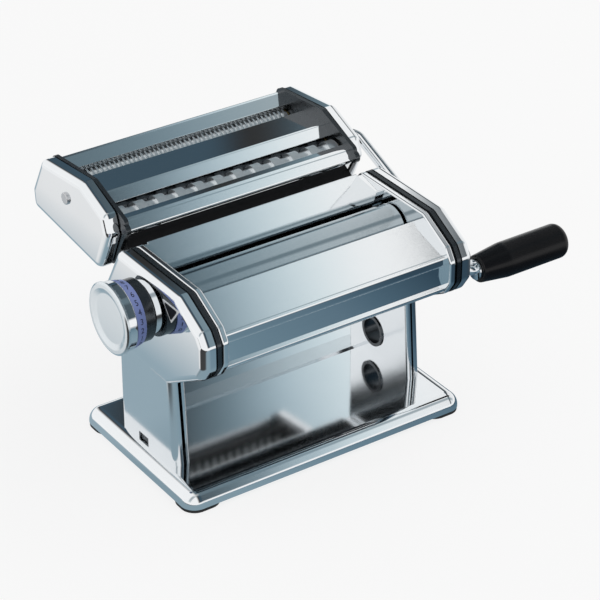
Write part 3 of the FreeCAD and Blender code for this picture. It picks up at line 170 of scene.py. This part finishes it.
def makeSatinPanel(name, rough):
    finish = Finish(name)
    lines = finish.noise(**satinLook["lines"])
    patches = finish.noise(**satinLook["patches"])
    tone = finish.blend(lines, satinLook["shade"], satinLook["tone"])
    roughness = lines * satinLook["lineRough"] + patches * satinLook["patchRough"] + rough
    relief = finish.bump(lines, *satinLook["lineRelief"])
    return finish.surface(Base_Color=tone, Metallic=1.0, Roughness=roughness, Normal=relief)


turnedLook = {
    "rings": {"scale": 120, "detail": 4, "stretch": (28, 0.5, 0.5), "rough": 0.75},
    "patches": {"scale": 40, "detail": 3},
    "patchShare": 0.3, "ringRough": 0.08, "patchRough": 0.06, "ringRelief": (0.12, 0.00004),
}


def makeTurned(name, tone, shade, rough, ringShare):
    finish = Finish(name)
    rings = finish.noise(**turnedLook["rings"])
    patches = finish.noise(**turnedLook["patches"])
    colour = finish.blend(rings * ringShare + patches * turnedLook["patchShare"], shade, tone)
    roughness = rings * turnedLook["ringRough"] + patches * turnedLook["patchRough"] + rough
    relief = finish.bump(rings, *turnedLook["ringRelief"])
    return finish.surface(Base_Color=colour, Metallic=1.0, Roughness=roughness, Normal=relief)


plateLook = {
    "flecks": {"scale": 420, "detail": 3}, "patches": {"scale": 30, "detail": 4},
    "fleckShare": 0.5, "patchShare": 0.5,
    "fleckRough": 0.1, "patchRough": 0.12, "fleckRelief": (0.12, 0.00008),
}


def makePlateSteel(name, bright, dull, rough):
    finish = Finish(name)
    flecks = finish.noise(**plateLook["flecks"])
    patches = finish.noise(**plateLook["patches"])
    share = flecks * plateLook["fleckShare"] + patches * plateLook["patchShare"]
    roughness = flecks * plateLook["fleckRough"] + patches * plateLook["patchRough"] + rough
    relief = finish.bump(flecks, *plateLook["fleckRelief"])
    return finish.surface(
        Base_Color=finish.blend(share, dull, bright), Metallic=1.0, Roughness=roughness, Normal=relief)


mouldedLook = {
    "poreDetail": 2, "patches": {"scale": 30, "detail": 3},
    "poreRough": 0.1, "patchRough": 0.08, "poreRelief": (0.10, 0.00012),
}


def makeMoulded(name, tone, shade, rough, grain, shine=0.5):
    finish = Finish(name)
    pores = finish.noise(grain, mouldedLook["poreDetail"])
    patches = finish.noise(**mouldedLook["patches"])
    colour = finish.blend(patches, shade, tone)
    roughness = pores * mouldedLook["poreRough"] + patches * mouldedLook["patchRough"] + rough
    relief = finish.bump(pores, *mouldedLook["poreRelief"])
    return finish.surface(Base_Color=colour, Roughness=roughness, Normal=relief, Specular_IOR_Level=shine)


finishes = {made.name: made for made in [
    makeMirrorChrome("mirrorChrome", rough=0.0, smudge=0.03),
    makeMirrorChrome("baseChrome", rough=0.05, smudge=0.02),
    makeMirrorChrome("standChrome", rough=0.09, smudge=0.08),
    makeSatinPanel("satinPanel", rough=0.02),
    makeSatinPanel("deckPanel", rough=0.01),
    makeTurned("rollerAluminium", (0.56, 0.62, 0.65, 1), (0.40, 0.45, 0.48, 1), rough=0.03, ringShare=0.5),
    makeTurned("cutterSteel", (0.92, 0.94, 0.95, 1), (0.70, 0.74, 0.76, 1), rough=0.26, ringShare=0.6),
    makePlateSteel("plateSteel", (0.66, 0.67, 0.68, 1), (0.50, 0.51, 0.53, 1), rough=0.20),
    # dark steel: painted shade for pieces that lie in shade behind others
    makePlateSteel("paintedShadeSteel", (0.11, 0.12, 0.13, 1), (0.06, 0.065, 0.07, 1), rough=0.16),
    makePlateSteel("bushBrass", (0.78, 0.60, 0.28, 1), (0.62, 0.44, 0.18, 1), rough=0.20),
    makePlateSteel("knobSilver", (0.80, 0.85, 0.88, 1), (0.73, 0.78, 0.81, 1), rough=0.10),
    makeMoulded(
        "gripPlastic", (0.006, 0.006, 0.007, 1), (0.004, 0.004, 0.005, 1), rough=0.16, grain=900, shine=0.25),
    # near black: painted shade for the gaps under the cutter head and the body
    makeMoulded(
        "paintedShadeBlack", (0.010, 0.010, 0.011, 1), (0.006, 0.006, 0.007, 1), rough=0.5, grain=800, shine=0.2),
    makeMoulded("footRubber", (0.030, 0.030, 0.030, 1), (0.016, 0.016, 0.016, 1), rough=0.62, grain=700),
    makeMoulded("dialBlue", (0.19, 0.25, 0.52, 1), (0.16, 0.21, 0.46, 1), rough=0.34, grain=1300),
    makeMoulded(
        "digitInk", (0.008, 0.008, 0.02, 1), (0.005, 0.005, 0.012, 1), rough=0.40, grain=1500, shine=0.2),
    makeMoulded("markWhite", (0.78, 0.80, 0.81, 1), (0.70, 0.72, 0.73, 1), rough=0.35, grain=1500),
    makeMoulded(
        "markInk", (0.012, 0.013, 0.015, 1), (0.008, 0.009, 0.010, 1), rough=0.35, grain=1500, shine=0.3),
]}

wornBy = {
    "mirrorChrome": [
        "left_end_cover", "right_end_cover", "cutter_left_cover", "cutter_right_cover",
        "left_liner", "right_liner", "knob_collar", "knob_seat_ring", "crank_rod"],
    "baseChrome": ["base_plate"],
    "standChrome": [
        "left_leg_outer", "left_leg_inner", "right_leg_outer", "right_leg_inner", "rear_strap"],
    "satinPanel": ["front_cover", "hopper_panel", "rear_cover"],
    "deckPanel": ["cutter_front_panel", "cutter_centre_panel", "cutter_back_panel", "dough_guides"],
    "rollerAluminium": ["front_roller"],
    "cutterSteel": ["wide_driven_cutter", "narrow_drive_cutter"],
    # pieces that lie behind others: a dark steel tone paints the shade on them, so they read as dark seams
    # and gaps
    "paintedShadeSteel": [
        "left_side_plate", "right_side_plate", "cutter_left_plate", "cutter_right_plate",
        "rear_roller", "wide_drive_cutter", "narrow_driven_cutter",
        "scrapers", "tie_rods", "knob_core", "clamp_eyelet"],
    # painted shade: black on the hooks strip and the combs, so the gaps they fill read dark
    "paintedShadeBlack": ["cutter_hooks", "wide_comb", "narrow_comb"],
    "plateSteel": [
        "cutter_rails", "cutter_tie_rods", "cutter_cover_screws", "base_screws",
        "regulator_shaft", "knob_spring", "front_roller_blocks",
        "rear_roller_gear", "front_roller_gear", "wide_drive_gear", "wide_driven_gear",
        "narrow_drive_gear", "narrow_driven_gear"],
    "bushBrass": ["rear_roller_bushes", "cutter_bushes"],
    "gripPlastic": ["crank_grip"],
    "dialBlue": ["dial_ring"],
    "knobSilver": ["knob_face"],
    "footRubber": ["rubber_feet"],
    "markInk": ["index_mark"],
}

dressed = set()
for finishName, nodeNames in wornBy.items():
    for nodeName in nodeNames:
        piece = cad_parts[nodeName]
        if not piece.material_slots:
            piece.data.materials.append(None)
        for slot in piece.material_slots:
            slot.material = finishes[finishName]
        dressed.add(nodeName)
bare = set(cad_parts) - dressed
print("finishes:", len(finishes), "on", len(dressed), "nodes, bare:", sorted(bare))


def addPiece(name, shape, finishName, body):
    mesh = bpy.data.meshes.new(name)
    shape.to_mesh(mesh)
    shape.free()
    mesh.materials.append(finishes[finishName])
    piece = bpy.data.objects.new(name, mesh)
    scene.collection.objects.link(piece)
    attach(piece, body)


# digits printed on the dial cone: they read from the front, and count upwards
digits = {
    "count": 10,
    "axis": (-8.6, 108.9),        # y, z of the knob axis, mm
    "near": (-105.8, 19.9),       # x and radius at the wide end of the dial
    "far": (-99.7, 18.5),
    "start": 2.19, "step": 16,    # place on the dial that faces the front at rest, degrees between digits
    "tall": 3.4, "wide": 0.95, "proud": 0.06,
    "smooth": 3, "cuts": 2, "weld": 1e-5,
}


def flatDigit(figure):
    curve = bpy.data.curves.new("figure", "FONT")
    curve.body = str(figure)
    curve.align_x = "CENTER"
    curve.align_y = "CENTER"
    curve.size = 1
    curve.resolution_u = digits["smooth"]
    shown = bpy.data.objects.new("figure", curve)
    scene.collection.objects.link(shown)
    bpy.context.view_layer.update()
    flat = bpy.data.meshes.new_from_object(shown.evaluated_get(bpy.context.evaluated_depsgraph_get()))
    bpy.data.objects.remove(shown)
    bpy.data.curves.remove(curve)
    return flat


def wrapDigits():
    joined = bmesh.new()
    nearX, nearRadius = digits["near"]
    farX, farRadius = digits["far"]
    middle = (nearX + farX) / 2
    slope = (farRadius - nearRadius) / (farX - nearX)
    axisY, axisZ = digits["axis"]
    for figure in range(digits["count"]):
        flat = flatDigit(figure)
        part = bmesh.new()
        part.from_mesh(flat)
        bpy.data.meshes.remove(flat)
        bmesh.ops.remove_doubles(part, verts=part.verts, dist=digits["weld"])
        bmesh.ops.triangulate(part, faces=part.faces)
        bmesh.ops.subdivide_edges(part, edges=part.edges, cuts=digits["cuts"], use_grid_fill=True)
        tops = [v.co.y for v in part.verts]
        sides = [v.co.x for v in part.verts]
        scale = digits["tall"] / (max(tops) - min(tops))
        midY = (max(tops) + min(tops)) / 2
        midX = (max(sides) + min(sides)) / 2
        turned = math.radians((figure - digits["start"]) * digits["step"])
        for v in part.verts:
            x = middle + (v.co.x - midX) * scale * digits["wide"]
            radius = nearRadius + (x - nearX) * slope + digits["proud"]
            angle = turned + (v.co.y - midY) * scale / radius
            v.co = Vector((x, axisY - radius * math.cos(angle), axisZ + radius * math.sin(angle))) * mm
        wrapped = bpy.data.meshes.new("figure")
        part.to_mesh(wrapped)
        part.free()
        joined.from_mesh(wrapped)
        bpy.data.meshes.remove(wrapped)
    addPiece("dialDigits", joined, "digitInk", "knob")


wrapDigits()
print("dial:", digits["count"], "digits")

# pale border of the index mark on the left cover, mm
border = {"x": (-90.3, -90.0), "tip": (-36.6, 114.4), "wide": 13.5, "tall": 8.6, "grow": 1.24}


def borderMark():
    tipY, tipZ = border["tip"]
    half = border["wide"] / 2
    top = tipZ + border["tall"]
    corners = [(tipY, tipZ), (tipY + half, top), (tipY - half, top)]
    midY = sum(y for y, z in corners) / len(corners)
    midZ = sum(z for y, z in corners) / len(corners)
    grown = [(midY + (y - midY) * border["grow"], midZ + (z - midZ) * border["grow"]) for y, z in corners]
    shape = bmesh.new()
    outer, inner = [[shape.verts.new(Vector((x, y, z)) * mm) for y, z in grown] for x in border["x"]]
    shape.faces.new(outer)
    shape.faces.new(reversed(inner))
    for place in range(len(corners)):
        after = (place + 1) % len(corners)
        shape.faces.new([outer[after], outer[place], inner[place], inner[after]])
    bmesh.ops.recalc_face_normals(shape, faces=shape.faces)
    addPiece("markBorder", shape, "markWhite", "body")


borderMark()
print("mark: border")

# stage: pale floor, drawn surround for polished metal, one large lamp; metres

floorLook = {
    "size": 4.0, "cells": 8, "drop": 0.4 * mm,
    "matte": (0.85, 0.85, 0.85, 1), "shadow": 0.18,
    # what polished sheet sees of the floor, along x; the rear tones take over across rearBand in y
    "from": -0.30, "to": 0.40, "rearBand": 0.04,
    "frontStops": [
        (0.00, 0.05), (0.14, 0.06), (0.21, (0.26, 0.35, 0.40)), (0.36, (0.24, 0.34, 0.40)),
        (0.456, (0.16, 0.25, 0.31)), (0.567, (0.115, 0.185, 0.24)), (0.609, (0.08, 0.14, 0.19)),
        (0.679, (0.035, 0.068, 0.10)), (0.80, (0.04, 0.06, 0.08)), (1.00, 0.85)],
    "rearStops": [
        (0.00, 0.95), (0.14, 0.85), (0.21, (0.32, 0.42, 0.48)), (0.32, (0.32, 0.42, 0.48)),
        (0.42, 0.80), (1.00, 0.95)],
    "whiteFrom": -0.36, "whiteTo": -0.60,    # the floor turns white towards the front, along y
}
paleTone = (0.995, 0.995, 0.995, 1)          # what the camera sees of floor and background


def makeFloor():
    plane = bmesh.new()
    cells = floorLook["cells"]
    bmesh.ops.create_grid(plane, x_segments=cells, y_segments=cells, size=floorLook["size"] / 2)
    for v in plane.verts:
        v.co.z = -floorLook["drop"]
    mesh = bpy.data.meshes.new("floor")
    plane.to_mesh(mesh)
    plane.free()
    floor = bpy.data.objects.new("floor", mesh)
    scene.collection.objects.link(floor)
    finish = Finish("paleFloor")
    rays = finish.add("ShaderNodeLightPath")
    matte = finish.add("ShaderNodeBsdfDiffuse", None, {"Color": floorLook["matte"]})
    pale = finish.add("ShaderNodeEmission", None, {"Color": paleTone})
    seen = finish.mixShader(floorLook["shadow"], pale, matte)
    along = finish.add("ShaderNodeSeparateXYZ", None, {"Vector": finish.place})
    share = (along.out("X") - floorLook["from"]) / (floorLook["to"] - floorLook["from"])
    tone = finish.blend(
        along.out("Y") / floorLook["rearBand"],
        finish.ramp(share, floorLook["frontStops"]), finish.ramp(share, floorLook["rearStops"]))
    whiteShare = (along.out("Y") - floorLook["whiteFrom"]) / (floorLook["whiteTo"] - floorLook["whiteFrom"])
    tone = finish.blend(whiteShare, tone, white)
    sweep = finish.add("ShaderNodeEmission", None, {"Color": tone})
    mirrored = finish.mixShader(rays.out("Is Glossy Ray"), matte, sweep)
    both = finish.mixShader(rays.out("Is Camera Ray"), mirrored, seen)
    finish.add("ShaderNodeOutputMaterial", None, {"Surface": both})
    mesh.materials.append(finish.material)


roomLook = {
    "light": 0.72,
    # what polished sheet sees of the room, along the direction's x, brought to 0..1
    "stops": [
        (0.00, 0.98), (0.425, 0.98), (0.525, 0.05), (0.60, (0.05, 0.085, 0.115)),
        (0.692, (0.05, 0.085, 0.115)), (0.698, 0.03), (0.704, 0.035), (0.711, (0.055, 0.075, 0.09)),
        (0.7235, (0.16, 0.23, 0.27)), (0.734, (0.40, 0.51, 0.57)), (0.746, (0.72, 0.82, 0.85)),
        (0.756, 0.98), (0.7685, 0.98), (0.770, (0.10, 0.13, 0.15)), (0.7725, (0.05, 0.065, 0.075)),
        (0.826, (0.06, 0.075, 0.085)), (0.85, 0.85), (1.00, 0.95)],
    "backFrom": 0.70, "backShift": 0.35,     # directions that point far back are read further left
    # towards the front: the share of its tones along -y, and the tones along the height
    "frontShare": [(0.10, 0.0), (0.22, 0.7), (0.38, 0.7), (0.50, 0.0)],
    "frontStops": [
        (0.20, 0.98), (0.40, (0.36, 0.44, 0.48)), (0.62, (0.16, 0.22, 0.25)),
        (0.88, (0.16, 0.23, 0.27)), (0.95, 0.60), (1.00, 0.90)],
    "horizon": (0.14, 0.24),                 # height of a direction: white below, the room above
}


def makeRoom():
    world = bpy.data.worlds.new("studio")
    scene.world = world
    world.use_nodes = True
    sheet = NodeSheet(world.node_tree)
    rays = sheet.add("ShaderNodeLightPath")
    direction = sheet.add("ShaderNodeTexCoord").out("Generated")
    across = sheet.add("ShaderNodeSeparateXYZ", None, {"Vector": direction})
    beyond = across.out("Y") - roomLook["backFrom"]
    behind = beyond.reckon("MAXIMUM", beyond, 0) * roomLook["backShift"]
    surround = sheet.ramp(across.out("X") * 0.5 + 0.5 - behind, roomLook["stops"])
    facing = sheet.ramp(across.out("Z"), roomLook["frontStops"])
    surround = sheet.blend(sheet.ramp(0 - across.out("Y"), roomLook["frontShare"]), surround, facing)
    lowest, highest = roomLook["horizon"]
    surround = sheet.blend((highest - across.out("Z")) / (highest - lowest), surround, white)
    plain = sheet.add("ShaderNodeBackground", None, {"Color": white, "Strength": roomLook["light"]})
    room = sheet.add("ShaderNodeBackground", None, {"Color": surround})
    pale = sheet.add("ShaderNodeBackground", None, {"Color": paleTone})
    lit = sheet.mixShader(rays.out("Is Glossy Ray"), plain, room)
    both = sheet.mixShader(rays.out("Is Camera Ray"), lit, pale)
    sheet.add("ShaderNodeOutputWorld", None, {"Surface": both})


lamp = {"at": (1.25, -0.45, 1.5), "size": 1.6, "power": 8.0}


def placeFacing(name, data, at, towards):
    holder = bpy.data.objects.new(name, data)
    holder.location = at
    holder.rotation_mode = "QUATERNION"
    holder.rotation_quaternion = towards.to_track_quat("-Z", "Y")
    scene.collection.objects.link(holder)
    return holder


def makeLamp():
    light = bpy.data.lights.new("softbox", "AREA")
    light.size = lamp["size"]
    light.energy = lamp["power"]
    at = Vector(lamp["at"])
    holder = placeFacing("softbox", light, at, -at)
    holder.visible_glossy = False


# camera at the photo's angle, fitted to the straight edges; places and lens in mm, clip in metres
eye = {
    "at": (-667.2, -999.4, 796.1), "aim": (16.96, -2.0, 73.98),
    "lens": 147.4, "sensor": 36, "clip": (0.05, 50),
}


def makeCamera():
    view = bpy.data.cameras.new("photoView")
    view.lens = eye["lens"]
    view.sensor_width = eye["sensor"]
    view.clip_start, view.clip_end = eye["clip"]
    at, aim = Vector(eye["at"]), Vector(eye["aim"])
    scene.camera = placeFacing("photoView", view, at * mm, aim - at)


makeFloor()
makeRoom()
makeLamp()
makeCamera()
print("stage: floor, room, lamp and camera")
